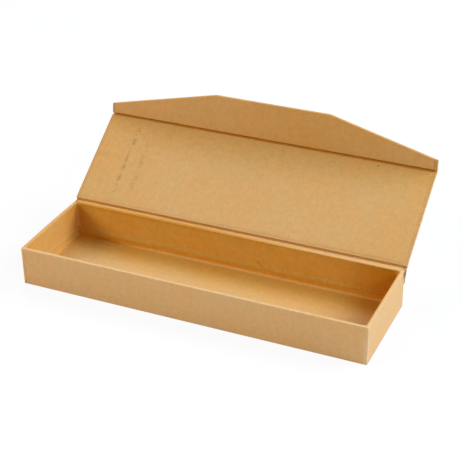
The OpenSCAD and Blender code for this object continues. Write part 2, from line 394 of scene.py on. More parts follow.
def paint_liner(flat, z, inset, wear_and_highlight, deep_shade, press):
    """The same shares on the floor sheet: wear and a painted highlight on the fold, painted light near
    the front wall, and painted shade towards the back, in the fold near the left end and on the turned-up
    edge.
    """
    x, y = flat.T
    side = nearest_side(flat)
    pale_shares = wear_and_highlight * FOLD_WEAR_AND_HIGHLIGHT[side] * np.where(side == 2, rise(x, *FOLD_LINE), 1)
    lit_front_strip = rise(-y, *PALE_FRONT) * rise(x, *PALE_RIGHT)
    pale_shares = np.maximum(pale_shares, PAINTED_FLOOR_LIGHT * lit_front_strip * (z < liner_low.z + FOLD_RADIUS))
    far = rise(y, inner_y - BACK_REACH, inner_y)
    shade = corner_shade(flat) * (NEAR_SHADE + (1 - NEAR_SHADE) * far)
    fold_shade_share = wear_and_highlight * (side == 2) * (1 - rise(x, FOLD_SHADE_END, FOLD_SHADE_GONE))
    deep_shade_shares = np.maximum.reduce([deep_shade * WALL_DEEP_SHADE[side], FAR_DEEP_SHADE * far, shade])
    turned_up = rise(z, floor_top + 0.5 * FOLD_RADIUS, floor_top + 1.5 * FOLD_RADIUS)
    shade = np.maximum.reduce([shade, fold_shade_share, TURNED_SHADE * turned_up * (side != 3)])
    return pale_shares, deep_shade_shares, press, shade


FOOT_LEFT = 9.6 * MM
FOOT_BACK_LEFT = 7.2 * MM
FOOT_BACK_RIGHT = 9.2 * MM
FOOT_WOBBLE = 0.25 * MM
FOOT_WAVE = 35 * MM
FOOT_BAND = 3 * MM


def foot_height(flat):
    """Where the wrap's cut edge really runs inside the tray: each side was cut by hand."""
    x, y = flat.T
    at_back = np.interp(x, (-outer_x, outer_x), (FOOT_BACK_LEFT, FOOT_BACK_RIGHT))
    height = np.select([y > inner_y - panel, x < panel - inner_x], [at_back, FOOT_LEFT], WRAP_FOOT)
    return height + FOOT_WOBBLE * ripple(np.column_stack([flat, 0 * x]), FOOT_WAVE, 5)


def lift_foot(flat, z, inset):
    """Moves the rows near the wrap's foot to the height of the cut edge there."""
    if inset < panel - TINY and abs(z[0] - WRAP_FOOT) > TINY:
        return z
    share = np.clip((WRAP_FOOT + FOOT_BAND - z) / FOOT_BAND, 0, 1)
    return z + share * (foot_height(flat) - WRAP_FOOT)


OUTSIDE_ROWS = 12
RIM_ROWS = 4
INSIDE_ROWS = 11
CURL = 0.04 * MM
# How far each row lies below the top of the foot's band, in millimetres, and its share of the curl
CURL_ROWS = ((0, 0.05), (1.6, 0.3), (2.7, 0.9), (3.0, 1.0))


def mouth_radius(z):
    """The tray's inner corners are rounder towards the rim."""
    up = np.clip(1 - (rim_z - z) / MOUTH_DEPTH, 0, 1)
    return INSIDE_CORNER + (MOUTH_CORNER - INSIDE_CORNER) * up * up


def tray_wrap_profile():
    """The wrap's cross-section: turned under, up the outside, over the rim, to its foot, and back."""
    low, top = wrap_low.z, rim_z
    rows = []

    def add(points, radius, wear_and_highlight=(0, 0), deep_shade=(0, 0), press=0.0):
        wears, deep_shades = (np.linspace(*ends, len(points)) for ends in (wear_and_highlight, deep_shade))
        for (inset, z), *shares in zip(points, wears, deep_shades):
            rows.append((inset, z, radius(inset), *shares, press))

    def outer(inset):
        return max(UPRIGHT_RADIUS - inset, LEAST_CORNER)

    def outside(inset):
        return np.interp(inset, (0, OUTER_RADIUS), (UPRIGHT_RADIUS, RIM_CORNER))

    def inner(inset):
        return np.interp(inset, (OUTER_RADIUS, panel), (RIM_CORNER, MOUTH_CORNER))

    add(arc((UNDER_RADIUS, low + UNDER_RADIUS), UNDER_RADIUS, 270, 180), outer, press=0.2)
    add(line((0, low + UNDER_RADIUS), (0, top - OUTER_RADIUS), OUTSIDE_ROWS), outer, press=1)
    # The rim's wear also paints its sheen; its inner edge and the inner walls take the deeper colour of
    # painted shade
    add(arc((OUTER_RADIUS, top - OUTER_RADIUS), OUTER_RADIUS, 180, 90), outside, (0.0, 1.0), press=0.6)
    crown = panel - INNER_RADIUS
    add(line((OUTER_RADIUS, top), (crown, top), RIM_ROWS), inner, (0.8, 0.4), press=1)
    add(arc((crown, top - INNER_RADIUS), INNER_RADIUS, 90, 0)[:-1], inner, (0.3, 0.0), (0.3, 1.0), 0.6)
    for z in np.linspace(top - INNER_RADIUS, WRAP_FOOT + FOOT_BAND, INSIDE_ROWS):
        rows.append((panel, z, mouth_radius(z), 0, 1, 0.4))
    for drop, out in CURL_ROWS:
        rows.append((panel + out * CURL, WRAP_FOOT + FOOT_BAND - drop * MM, INSIDE_CORNER, 0, 1, 0))
    lap = board + paper + LINER_PAPER + TINY
    back_in, back_out, under_rim = board + paper + 2 * TINY, paper - 2 * TINY, top - paper + 2 * TINY
    for inset, z in ((lap, WRAP_FOOT), (lap, liner_high.z), (back_in, liner_high.z + TINY)):
        rows.append((inset, z, INSIDE_CORNER, 0, 1, 0))
    add([(back_in, under_rim)], lambda inset: BACK_CORNER)
    add([(paper + BOARD_ROUND, under_rim)], outer)
    add([(back_out, top - paper - BOARD_ROUND), (back_out, low + TINY)], outer)
    return rows


# A bubble under the paper, left of the middle, just below the back rim
BUBBLE_CENTRE = (-66 * MM, inner_y, 37.6 * MM)
BUBBLE_REACH = (19 * MM, 3 * MM, 1.9 * MM)
BUBBLE_HEIGHT = 0.55 * MM


def raise_bubble(obj):
    for v in obj.data.vertices:
        d = math.hypot(*((v.co[k] - BUBBLE_CENTRE[k]) / BUBBLE_REACH[k] for k in range(3)))
        if d < 1:
            v.co.y -= BUBBLE_HEIGHT * (1 - d * d) ** 2


LEFT_BOW = 0.6 * MM
BOW_SKIN = 2.4 * MM
BOW_FOOT = 10 * MM


def bow_left_rim(obj):
    """The paper on the left end swells out a little towards the middle of its rim."""
    for v in obj.data.vertices:
        skin = 1 - (v.co.x + outer_x) / BOW_SKIN
        if 0 < skin <= 1.1:
            up = float(rise(v.co.z, BOW_FOOT, rim_z))
            middle = math.cos(math.pi / 2 * min(abs(v.co.y) / outer_y, 1))
            v.co.x -= LEFT_BOW * min(skin, 1) * up * middle


FLOOR_ROWS = 13
FOLD_REST = 2 * MM
TURN_HEIGHTS = (5 * MM, 8 * MM, 11 * MM)


def liner_profile():
    """The floor sheet's cross-section, from the middle out, up, over and back below."""
    side = board + paper + LINER_PAPER
    insets = np.linspace(outer_y, side + FOLD_RADIUS + FOLD_REST, FLOOR_ROWS)
    rows = [(inset, floor_top, 0, 0, 0, 1) for inset in insets]
    bend = arc((side + FOLD_RADIUS, floor_top + FOLD_RADIUS), FOLD_RADIUS, 270, 180)
    # The fold is paled by wear and a painted highlight; the fold and the turned-up edge take the deeper
    # colour of painted shade
    rows += [(inset, z, INSIDE_CORNER, 1, 0.5, 0.2) for inset, z in bend]
    top = liner_high.z
    rows += [(side, z, INSIDE_CORNER, 0, 1, 0) for z in (*TURN_HEIGHTS, top)]
    out = side - LINER_PAPER + TINY
    rows += [(out, top, INSIDE_CORNER, 0, 1, 0), (out, liner_low.z, TINY, 0, 0, 0)]
    return rows + [(inset, liner_low.z, 0, 0, 0, 0) for inset in (insets[-1], insets[0])]


# Slabs: lid, flap and the sheets glued to them

def border(low, high, radius, step, marks=()):
    """Stations across a slab with round edges: where each lies drawn in, and how far it stands out."""
    out = [radius * math.cos(math.pi / 2 * k / ARC_STEPS) for k in range(ARC_STEPS)]
    cuts = [low + radius, *marks, high - radius]
    inner = []
    for a, b in zip(cuts, cuts[1:]):
        n = max(1, round((b - a) / step))
        inner += [a + (b - a) * k / n for k in range(n)]
    stations = [(low + radius, -o) for o in out]
    stations += [(x, 0.0) for x in inner + [high - radius]]
    return stations + [(high - radius, o) for o in reversed(out)]


EDGE_WEAR = 0.1


def slope_at(curve, x):
    return (curve(x + TINY) - curve(x - TINY)) / (2 * TINY)


def slab(half_x, low, high, bottom, top, radius, rows, marks=(), inside=False, relief=0.0,
         deep_shade=(0.0, 0.0), fade=None):
    """A panel in XY with round edges, from low to high(x) along Y. Two shares give the deeper colour of
    painted shade on the inner near and far edge, and fade(x, y) gives that colour on the faces."""
    columns = border(-half_x, half_x, radius, STATION, marks)
    sides, pale_shares, deep_shade_shares = [], [], []
    for level, sign in ((top, -1), (bottom, 1)):
        grid = []
        for x0, sx in columns:
            slope = slope_at(high, x0)
            lean = math.sqrt(1 + slope * slope)
            inner_low, inner_high = low + radius, high(x0) - radius * lean
            for y0, sy in border(0, 1 + 2 * radius, radius, 1 / rows):
                share = y0 - radius
                y = inner_low + (inner_high - inner_low) * share
                m = math.hypot(sx, sy)
                k = min(1.0, radius / m) if m > 0 else 1.0
                stand = lean if sy > 0 else 1.0
                drop = radius - math.sqrt(max(radius * radius - (m * k) ** 2, 0))
                x = x0 + sx * k
                grid.append((x, y + sy * k * stand + slope * sx * k * share, level + sign * drop))
                pale_shares.append(EDGE_WEAR * min(1.0, m * k / radius * 1.4))
                edge_deep_shade = 0.0 if level == bottom else deep_shade[sy > 0]
                edge_deep_shade *= min(1.0, abs(sy) * k / radius * 1.2)
                deep_shade_shares.append(max(edge_deep_shade, fade(x, y) if fade else 0.0))
        sides.append(np.array(grid))
    count = len(columns)
    width = len(sides[0]) // count
    total = count * width
    faces = grid_faces(count, width)
    faces += [[i + total for i in reversed(f)] for f in faces]
    index = np.arange(total).reshape(count, width)
    edge = [*index[:, 0], *index[-1, 1:], *index[-2::-1, -1], *index[0, -2:0:-1]]
    for a, b in zip(edge, edge[1:] + edge[:1]):
        faces.append((a, b, b + total, a + total))
    return Shell(np.concatenate(sides), faces, pale_shares, deep_shade_shares, relief=relief, inside=inside)


def flap_edge(x):
    """The flap's free edge in its own axes: a straight middle and a slope to each end."""
    reach = (-flap_half, flat_left, flat_right, flap_half)
    return np.interp(x, reach, (flap_side, flap_height, flap_height, flap_side))


# Ribbons: the hinge papers, seams and tucks

def ribbon(profiles, stations, thickness, order, wear_and_highlight=0.0):
    """A strip of paper. profiles(s) gives its middle line at station s on the first two axes
    of order, and s lies on the third."""
    rows = []
    for s in stations:
        middle = np.array(profiles(s), float)
        along = np.gradient(middle, axis=0)
        along /= np.linalg.norm(along, axis=1)[:, None]
        half = np.column_stack([-along[:, 1], along[:, 0]]) * thickness / 2
        both = np.concatenate([middle + half, (middle - half)[::-1]])
        block = np.zeros((len(both), 3))
        block[:, order] = np.column_stack([both, np.full(len(both), s)])
        rows.append(block)
    width = len(rows[0])
    faces = grid_faces(len(rows), width, close_columns=True)
    for base in (0, (len(rows) - 1) * width):
        for k in range(width // 2 - 1):
            faces.append((base + k, base + k + 1, base + width - 2 - k, base + width - 1 - k))
    return Shell(np.concatenate(rows), faces, wear_and_highlight)


def spread(low, high, step):
    return np.linspace(low, high, max(2, round((high - low) / step) + 1))


# Materials

class Graph:
    """The nodes of a material or of the world, one short call for each."""

    def __init__(self, name, library=bpy.data.materials):
        self.owner = library.new(name)
        self.owner.use_nodes = True
        tree = self.owner.node_tree
        self.nodes, self.links = tree.nodes, tree.links
        self.nodes.clear()

    def add(self, kind, values=None, **settings):
        node = self.nodes.new("ShaderNode" + kind)
        for key, value in settings.items():
            setattr(node, key, value)
        for key, value in (values or {}).items():
            socket = node.inputs[key]
            if isinstance(value, bpy.types.NodeSocket):
                self.links.new(value, socket)
            else:
                socket.default_value = value
        return node

    def math(self, operation, a, b=0.0):
        return self.add("Math", {0: a, 1: b}, operation=operation).outputs[0]

    def vector(self, operation, a, b, output=0):
        return self.add("VectorMath", {0: a, 1: b}, operation=operation).outputs[output]

    def product(self, *factors):
        result = factors[0]
        for factor in factors[1:]:
            result = self.math("MULTIPLY", result, factor)
        return result

    def place(self):
        return self.add("TexCoord").outputs["Object"]

    def position(self):
        return self.add("SeparateXYZ", {0: self.place()}).outputs[:]

    def distance(self, point):
        return self.vector("DISTANCE", self.place(), point, "Value")

    def painted(self, name):
        return self.add("Attribute", attribute_name=name).outputs["Fac"]

    def noise(self, vector, scale, detail=3.0, roughness=0.5):
        values = {"Vector": vector, "Scale": scale, "Detail": detail, "Roughness": roughness}
        return self.add("TexNoise", values).outputs[0]

    def stretched(self, vector, scale, detail, roughness):
        return self.noise(self.vector("MULTIPLY", vector, scale), 1.0, detail, roughness)

    def ramp(self, value, low, high, to_low=0.0, to_high=1.0, kind="SMOOTHSTEP"):
        values = {"Value": value, "From Min": low, "From Max": high, "To Min": to_low, "To Max": to_high}
        return self.add("MapRange", values, interpolation_type=kind).outputs[0]

    def straight(self, *limits):
        return self.ramp(*limits, kind="LINEAR")

    def mix(self, factor, a, b, blend="MIX"):
        values = {0: factor, 6: a, 7: b}
        return self.add("Mix", values, data_type="RGBA", blend_type=blend).outputs[2]

    def scaled(self, colour, factor):
        return self.add("VectorMath", {0: colour, "Scale": factor}, operation="SCALE").outputs[0]

    def bump(self, height, strength, distance):
        values = {"Strength": strength, "Distance": distance, "Height": height}
        return self.add("Bump", values).outputs[0]

    def finish(self, shader, kind="OutputMaterial"):
        self.add(kind, {"Surface": shader.outputs[0]})
        return self.owner


WHITE = (1.0, 1.0, 1.0, 1.0)
WARM = (1.015, 0.985, 0.94)
PALE = (0.985, 1.015, 1.055)
# Paler colour for scuffs and for painted highlights and sheen
SCUFF_AND_HIGHLIGHT = (1.17, 1.50, 2.4)
# Multiplies the colour where shade is painted
SHADED = (0.84, 0.62, 0.15)
SPECKED = (0.45, 0.36, 0.30)
MARKED = (0.56, 0.46, 0.42)
# Colour for rub marks, and for painted shade along edges and the foot
SMUDGE_AND_SHADE_TINT = (0.70, 0.60, 0.56)
FOLD_SHADE_TINT = (0.52, 0.40, 0.28)
GAP_SHADOW_TINT = (0.42, 0.22, 0.22)


def tinted(colour, factor):
    return (*(a * b for a, b in zip(colour, factor)), 1.0)


def kraft(name, colour, deep_shade=None, seed=0.0, marks=(), stain_and_shade=None):
    """Brown kraft paper: cloudy pulp, faint machine streaks, fine fibres, specks and scuffed edges, with
    painted shade as a deeper colour and a darker multiply, and painted highlights among the scuffs.
    """
    g = Graph(name)
    place = g.vector("ADD", g.place(), (seed, seed * 0.7, seed * 1.3))
    clouds = g.noise(place, 26.0)
    pulp = g.noise(place, 170.0, 4.0, 0.6)
    mottle = g.noise(place, 520.0, 2.0)
    streak = g.stretched(place, (260.0, 9.0, 9.0), 3.0, 0.55)
    fibre_x = g.stretched(place, (500.0, 2600.0, 2600.0), 2.0, 0.6)
    fibre_y = g.stretched(place, (2600.0, 600.0, 600.0), 2.0, 0.6)

    share = g.ramp(clouds, 0.36, 0.64)
    tint = g.mix(share, tinted(colour, WARM), tinted(colour, PALE))
    # Painted shade: a deeper colour, mixed in by each point's share of it
    depth = g.painted("deep_shade")
    if deep_shade:
        tint = g.mix(depth, tint, g.mix(share, tinted(deep_shade, WARM), tinted(deep_shade, PALE)))
    levels = []
    for cloud, low, change in ((pulp, 0.25, 0.07), (mottle, 0.25, 0.05), (streak, 0.25, 0.014),
                               (fibre_x, 0.2, 0.06), (fibre_y, 0.2, 0.06)):
        levels.append(g.straight(cloud, low, 1 - low, 1 - change, 1 + change))
    body = g.scaled(tint, g.product(*levels))
    # Painted shade: darker where the shade share is high
    body = g.mix(g.painted("shade"), body, (*SHADED, 1.0), "MULTIPLY")

    cells = g.add("TexVoronoi", {"Vector": place, "Scale": 420.0})
    chosen = g.ramp(g.add("SeparateColor", {0: cells.outputs["Color"]}).outputs[0], 0.80, 0.84)
    speck = g.product(chosen, g.ramp(cells.outputs["Distance"], 0.06, 0.22, 1.0, 0.0), 0.30)
    body = g.mix(speck, body, tinted(colour, SPECKED))

    rough = g.ramp(g.noise(place, 380.0, 4.0, 0.7), 0.40, 0.62, 0.5, 1.0)
    # Paler where the paper is worn and where highlights and sheen are painted
    scuff_and_highlight = g.product(g.painted("wear_and_highlight"), rough, 0.8)
    body = g.mix(scuff_and_highlight, body, tinted(colour, SCUFF_AND_HIGHLIGHT))

    for centre, radius, strength in marks:
        ragged = g.straight(pulp, 0.3, 0.7, -0.35 * radius, 0.35 * radius)
        away = g.math("ADD", g.distance(centre), ragged)
        spot = g.ramp(away, 0.4 * radius, 1.1 * radius, strength, 0.0)
        body = g.mix(spot, body, tinted(colour, MARKED))
    if stain_and_shade:
        body = stain_and_shade(g, body, colour)

    grain = g.math("ADD", g.product(fibre_x, 0.6), g.product(fibre_y, 0.4))
    height = g.math("ADD", g.product(grain, 0.55), g.product(pulp, 0.45))
    gloss = g.straight(pulp, 0.3, 0.7, 0.44, 0.58)
    gleam = g.straight(depth, 0.0, 1.0, 0.5, 0.06)
    return g.finish(g.add("BsdfPrincipled", {
        "Base Color": body, "Roughness": gloss, "Normal": g.bump(height, 0.55, 0.09 * MM),
        "Specular IOR Level": gleam}))


# Where the painted gap shadow lies and how far it reaches
GAP_SHADOW_CENTRE = (outer_x, outer_y + 1.8 * MM, rim_z + 0.2 * MM)
GAP_SHADOW_REACH = 2.6 * MM
GAP_SHADOW_SHARE = 0.85


def hinge_gap_shadow(g, body, colour):
    """Painted shadow in the gap between the hinge papers and the wrap at the tray's back right corner."""
    factor = g.ramp(g.distance(GAP_SHADOW_CENTRE), 0.5 * GAP_SHADOW_REACH, GAP_SHADOW_REACH, GAP_SHADOW_SHARE, 0.0)
    return g.mix(factor, body, tinted(colour, GAP_SHADOW_TINT))


LINER_EDGE = 1.0 * MM
PANEL_EDGE = 2.3 * MM
EDGE_SHARE = 0.6
FOOT_EDGE = 1.3 * MM
FOOT_EDGE_SHARE = 0.4


def liner_edge_shade(g, body, colour):
    """Painted shade: a thin darker line along a liner sheet's left and right edges."""
    edge = lid_half - liner_margin
    away = g.math("ABSOLUTE", g.position()[0])
    factor = g.ramp(away, edge - LINER_EDGE, edge, 0.0, EDGE_SHARE)
    return g.mix(factor, body, tinted(colour, SMUDGE_AND_SHADE_TINT))


def panel_edge_shade(g, body, colour):
    """Painted shade: a darker band inside the pale ends of the lid and the flap, and along the lid's foot
    by the hinge; then the painted gap shadow.
    """
    away = g.math("ABSOLUTE", g.position()[0])
    band = g.ramp(away, lid_half - PANEL_EDGE, lid_half - PANEL_EDGE / 2, 0.0, EDGE_SHARE)
    fall = g.ramp(away, lid_half - PANEL_EDGE / 3, lid_half, 1.0, 0.2)
    origin, turn = LID_AXES
    up_lid = g.vector("DOT_PRODUCT", g.place(), tuple(turn[:, 1]), "Value")
    up_lid = g.math("SUBTRACT", up_lid, float(origin @ turn[:, 1]))
    foot = g.ramp(up_lid, lid_start + 0.5 * FOOT_EDGE, lid_start + FOOT_EDGE, FOOT_EDGE_SHARE, 0.0)
    factor = g.math("MAXIMUM", g.product(band, fall), foot)
    return hinge_gap_shadow(g, g.mix(factor, body, tinted(colour, SMUDGE_AND_SHADE_TINT)), colour)


def fold_shade(g, body, colour):
    """Painted shade: a dark line in the fold between the floor and the back wall, near the left end."""
    x, y, z = g.position()
    level = g.straight(x, -outer_x, FOLD_SHADE_END, *FOLD_RISE)
    away = g.math("ABSOLUTE", g.math("SUBTRACT", z, level))
    near = g.ramp(away, 0.3 * FOLD_WIDTH, FOLD_WIDTH, 0.7, 0.0)
    at_back = g.math("GREATER_THAN", y, inner_y - FOLD_DEPTH)
    factor = g.product(near, at_back, g.ramp(x, FOLD_SHADE_END - FOLD_FADE, FOLD_SHADE_END, 1.0, 0.0))
    return g.mix(factor, body, tinted(colour, FOLD_SHADE_TINT))


# Each row of rub marks: its place along X, its width, the heights between which it runs, its strength
SMUDGE_ROWS = [
    (-142.4 * MM, 3.0 * MM, 47 * MM, 98 * MM, 0.85),
    (-125.0 * MM, 5.0 * MM, 51 * MM, 88 * MM, 0.45),
]
SMUDGE_START, SMUDGE_END = 6 * MM, 4 * MM


def smudge_column(g, body, colour):
    """Rows of faint brown rub marks across the lid, near its left end, then the painted shade along the
    sheet's edges.
    """
    x, y, z = g.position()
    blotch = g.ramp(g.noise(g.place(), 170.0, 2.0), 0.42, 0.66)
    for middle, width, low, high, strength in SMUDGE_ROWS:
        away = g.math("ABSOLUTE", g.math("SUBTRACT", x, middle))
        across = g.ramp(away, 0.2 * width, width, strength, 0.0)
        begun, ended = g.ramp(z, low, low + SMUDGE_START), g.ramp(z, high - SMUDGE_END, high, 1.0, 0.0)
        body = g.mix(g.product(across, begun, ended, blotch), body, tinted(colour, SMUDGE_AND_SHADE_TINT))
    return liner_edge_shade(g, body, colour)


HINGE_END_REACH = (2.5 * MM, 5.0 * MM)
BOTTOM_LINE = 1.3 * MM
BOTTOM_SHARE = 0.85
HINGE_END = (29 * MM, 35 * MM)
HINGE_END_TOP = (rim_z - 2.5 * MM, rim_z - 1 * MM)


def hinge_gap_and_foot_shadows(g, body, colour):
    """Painted shadow: a dark line down the tray's back right corner, where the wrap and the hinge paper
    part, and painted shade along the foot."""
    *flat, z = g.position()
    ways = []
    for way, middle, reach in zip(flat, (outer_x, outer_y), HINGE_END_REACH):
        ways.append(g.math("DIVIDE", g.math("SUBTRACT", way, middle), reach))
    away = g.math("SQRT", g.math("ADD", *(g.product(w, w) for w in ways)))
    factor = g.product(g.ramp(away, 0.55, 1.0, 0.9, 0.0), g.ramp(z, *HINGE_END),
                       g.ramp(z, *HINGE_END_TOP, 1.0, 0.0))
    body = g.mix(factor, body, tinted(colour, GAP_SHADOW_TINT))
    low = g.ramp(z, 0.5 * BOTTOM_LINE, BOTTOM_LINE, BOTTOM_SHARE, 0.0)
    return g.mix(low, body, tinted(colour, SMUDGE_AND_SHADE_TINT))


def grey_board(name, colour):
    """Recycled board: grey pulp with darker and paler flecks and a rough cut face."""
    g = Graph(name)
    place = g.place()
    flecks = g.noise(place, 900.0, 4.0, 0.7)
    layers = g.stretched(place, (120.0, 1500.0, 1500.0), 3.0, 0.6)
    dark, pale = (tinted(colour, (k, k, k)) for k in (0.72, 1.22))
    body = g.mix(g.ramp(flecks, 0.38, 0.62), dark, pale)
    body = g.scaled(body, g.straight(layers, 0.3, 0.7, 0.9, 1.1))
    bump = g.bump(layers, 0.7, 0.1 * MM)
    return g.finish(g.add("BsdfPrincipled", {"Base Color": body, "Roughness": 0.85, "Normal": bump}))


def metal(name, colour, roughness, stretch):
    """Plated or plain metal with fine scratches and dull patches."""
    g = Graph(name)
    place = g.place()
    scratches = g.stretched(place, stretch, 2.0, 0.6)
    patches = g.noise(place, 260.0)
    body = g.scaled(colour, g.straight(patches, 0.3, 0.7, 0.93, 1.05))
    gloss = g.straight(scratches, 0.3, 0.7, roughness - 0.06, roughness + 0.1)
    return g.finish(g.add("BsdfPrincipled", {
        "Base Color": body, "Metallic": 1.0, "Roughness": gloss,
        "Normal": g.bump(scratches, 0.3, 0.02 * MM)}))


# Marks, at places in millimetres along X and up the lid, the flap, the wall or the floor

def on_face(axes, top):
    return lambda x, y: tuple(placed(axes, [[x * MM, y * MM, top]])[0])


def marks_at(place, rows):
    """Marks from rows of two coordinates, a radius in millimetres and a strength."""
    return [(place(a, b), radius * MM, strength) for a, b, radius, strength in rows]


LID_MARKS = marks_at(on_face(LID_AXES, lid_top), (
    (-142.5, 96.0, 1.2, 1.0), (-143, 82, 1.3, 0.38), (-142.3, 76.5, 1.2, 0.30),
    (-142.3, 70.2, 1.5, 0.30), (-141.9, 55.3, 1.6, 0.34), (-142.3, 49.6, 1.4, 0.28),
    (-127.5, 82.6, 1.3, 0.34), (-121.9, 81.8, 0.9, 0.38), (-156.2, 83.0, 1.2, 0.26),
    (122.1, 104.0, 1.5, 0.9), (126.0, 62.0, 0.8, 0.32), (130.9, 63.1, 0.8, 0.32)))
WALL_MARKS = marks_at(lambda x, z: (x * MM, inner_y, z * MM), (
    *((29.7 + 1.1 * k, 16.8 - 1.2 * k, 0.9, 0.9) for k in range(5)),
    (-168.3, 38.4, 1.1, 0.5), (-130.3, 37.6, 1.0, 0.4)))
FLOOR_MARKS = marks_at(on_face(PART_AXES, floor_top), (
    (-136.5, 41.4, 1.8, 0.5), (-154.1, 16.4, 1.5, 0.45)))
FLAP_MARKS = marks_at(on_face(FLAP_AXES, flap_top), (
    (-14.3, 38.2, 1.2, 0.3), (3.5, 38.3, 1.2, 0.35), (17, 38.2, 1.2, 0.4)))

# Painted shade: the deeper colours below are the same paper, deeper and more saturated, mixed in where it
# lies in shade inside the tray, at the hinge and in the crease. The flap's own colour is the same paper
# painted darker, as the flap faces away from the main light.
KRAFT = (0.690, 0.384, 0.128)
LID_KRAFT = (0.698, 0.396, 0.130)
LID_SHADE_KRAFT = (0.668, 0.332, 0.066)
INNER_SHADE_KRAFT = (0.665, 0.333, 0.053)
FLOOR_KRAFT = (0.655, 0.370, 0.112)
FLOOR_SHADE_KRAFT = (0.755, 0.395, 0.064)
FLAP_SHADED_KRAFT = (0.625, 0.321, 0.077)
FLAP_DEEP_SHADE_KRAFT = (0.620, 0.290, 0.034)
CREASE_SHADE_KRAFT = (0.720, 0.295, 0.012)
tray_kraft = kraft("tray_kraft", KRAFT, INNER_SHADE_KRAFT, 0.11, WALL_MARKS, hinge_gap_and_foot_shadows)
floor_kraft = kraft("floor_kraft", FLOOR_KRAFT, FLOOR_SHADE_KRAFT, 0.37, FLOOR_MARKS, fold_shade)
base_kraft = kraft("base_kraft", tinted(KRAFT, (0.92, 0.92, 0.92)), seed=0.53)
spine_kraft = kraft("spine_kraft", tinted(KRAFT, (0.97, 0.97, 0.97)), seed=0.71, stain_and_shade=hinge_gap_and_foot_shadows)
hinge_kraft = kraft("hinge_kraft", KRAFT, CREASE_SHADE_KRAFT, 0.83, stain_and_shade=hinge_gap_shadow)
lid_kraft = kraft("lid_kraft", LID_KRAFT, LID_SHADE_KRAFT, 0.29, stain_and_shade=panel_edge_shade)
liner_kraft = kraft("liner_kraft", LID_KRAFT, LID_SHADE_KRAFT, 0.47, LID_MARKS, smudge_column)
flap_kraft = kraft("flap_liner_kraft", FLAP_SHADED_KRAFT, FLAP_DEEP_SHADE_KRAFT, 0.61, FLAP_MARKS, liner_edge_shade)
board_grey = grey_board("grey_board", (0.27, 0.24, 0.20))
tape_tan = kraft("gummed_tape", (0.50, 0.33, 0.16), seed=0.91)
magnet_metal = metal("magnet", (0.72, 0.72, 0.73), 0.18, (900.0, 900.0, 900.0))
disc_metal = metal("steel_disc", (0.56, 0.57, 0.58), 0.36, (300.0, 3000.0, 3000.0))


# The tray

tray_shells = [sweep(tray_wrap_profile(), True, paint_wrap, RELIEF, lift_foot)]

SEAM_BACK = 14 * MM
SEAM_REACH = 3.2 * MM
SEAM_SINK = 0.2 * MM
LAP_PAPER = 0.3 * MM
TUCK_BACK = 0.4 * MM
TUCK_REACH = 1.6 * MM
TUCK_SINK = 0.12 * MM
TUCK_WAVE = 0.5 * MM
TUCK_LIFT = 0.06 * MM


def corner_strip(sign_x, inset, radius, back, reach):
    """Middle line of a strip round a back corner, from the end wall on to the back wall."""
    x, y = outer_x - inset, outer_y - inset
    centre = (x - radius, y - radius)
    points = [(x, y - back), *line((x, y - back), (x, centre[1]), 5)]
    points += arc(centre, radius, 0, 90)
    points += [*line((centre[0], y), (x - reach, y), 3), (x - reach, y)]
    return np.array(points) * (sign_x, 1)


def sunk(strip, depth, sign_x):
    """Sinks the first points of a corner strip into the end wall, so only its far edge stands out."""
    share = np.clip(1 - np.arange(len(strip)) / 4, 0, 1)
    return strip + np.column_stack([sign_x * depth * share, 0 * share])


def seam_profile(z):
    """The wrap's last edge, lapped from the left end round the front corner."""
    strip = corner_strip(-1, LAP_PAPER / 2, UPRIGHT_RADIUS, SEAM_BACK, SEAM_REACH)
    return sunk(strip * (1, -1), SEAM_SINK, 1)


def tuck_profile(sign_x, sign_y, seed):
    """The end wall's paper, lapped over an inner corner on to the long wall."""
    def profile(z):
        wave = TUCK_WAVE * math.sin(z / rim_z * 6.1 + seed)
        radius = mouth_radius(z)
        inset = panel - LAP_PAPER / 2 + TUCK_LIFT
        strip = corner_strip(sign_x, inset, radius, TUCK_BACK + radius, TUCK_REACH + radius + wave)
        return sunk(strip * (1, sign_y), TUCK_SINK, sign_x)
    return profile


seam_heights = spread(1.0 * MM, rim_z - 1.9 * MM, STATION)
tray_shells.append(ribbon(seam_profile, seam_heights, LAP_PAPER, (0, 1, 2)))
for sx, sy, seed in ((-1, 1, 0.4), (1, 1, 1.1), (-1, -1, 2.0), (1, -1, 2.9)):
    heights = spread(WRAP_FOOT + FOOT_BAND, rim_z - 1.4 * MM, 2 * MM)
    tuck = ribbon(tuck_profile(sx, sy, seed), heights, LAP_PAPER, (0, 1, 2))
    # Painted shade: the tucks in the inner corners take the deeper colour
    tuck.shares[:, 1] = 1
    tray_shells.append(tuck)
tray_paper = piece("tray_paper", tray_shells, PART_AXES, tray_kraft, seed=11)
raise_bubble(tray_paper)
bow_left_rim(tray_paper)
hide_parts("tray_wrap")
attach(tray_paper, "tray")

liner_shell = sweep(liner_profile(), False, paint_liner, LINER_RELIEF)
tray_lining = piece("tray_lining", [liner_shell], PART_AXES, floor_kraft, seed=23,
                    ripples=(55 * MM, 18 * MM))
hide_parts("floor_liner")
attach(tray_lining, "tray")


# The lid

LINER_LIFT = 0.2 * MM
SHEET_RADIUS = 0.1 * MM
LID_ROWS, FLAP_ROWS, FLAP_SHEET_ROWS = 26, 10, 8
HOLLOW_RADIUS = PANEL_RADIUS - SKIN + 0.1 * MM


def panel_shells(half_x, low, high, bottom, top, rows, deep_shade, fade, marks=()):
    """The wrap of a board: its outside, and the hollow that the board fills."""
    outside = slab(half_x, low, high, bottom, top - LINER_LIFT, PANEL_RADIUS, rows, marks,
                   relief=RELIEF, deep_shade=deep_shade, fade=fade)
    hollow = slab(half_x - SKIN, low + SKIN, lambda x: high(x) - SKIN, bottom + SKIN,
                  top - paper + TINY, HOLLOW_RADIUS, 2, marks, inside=True)
    return [outside, hollow]


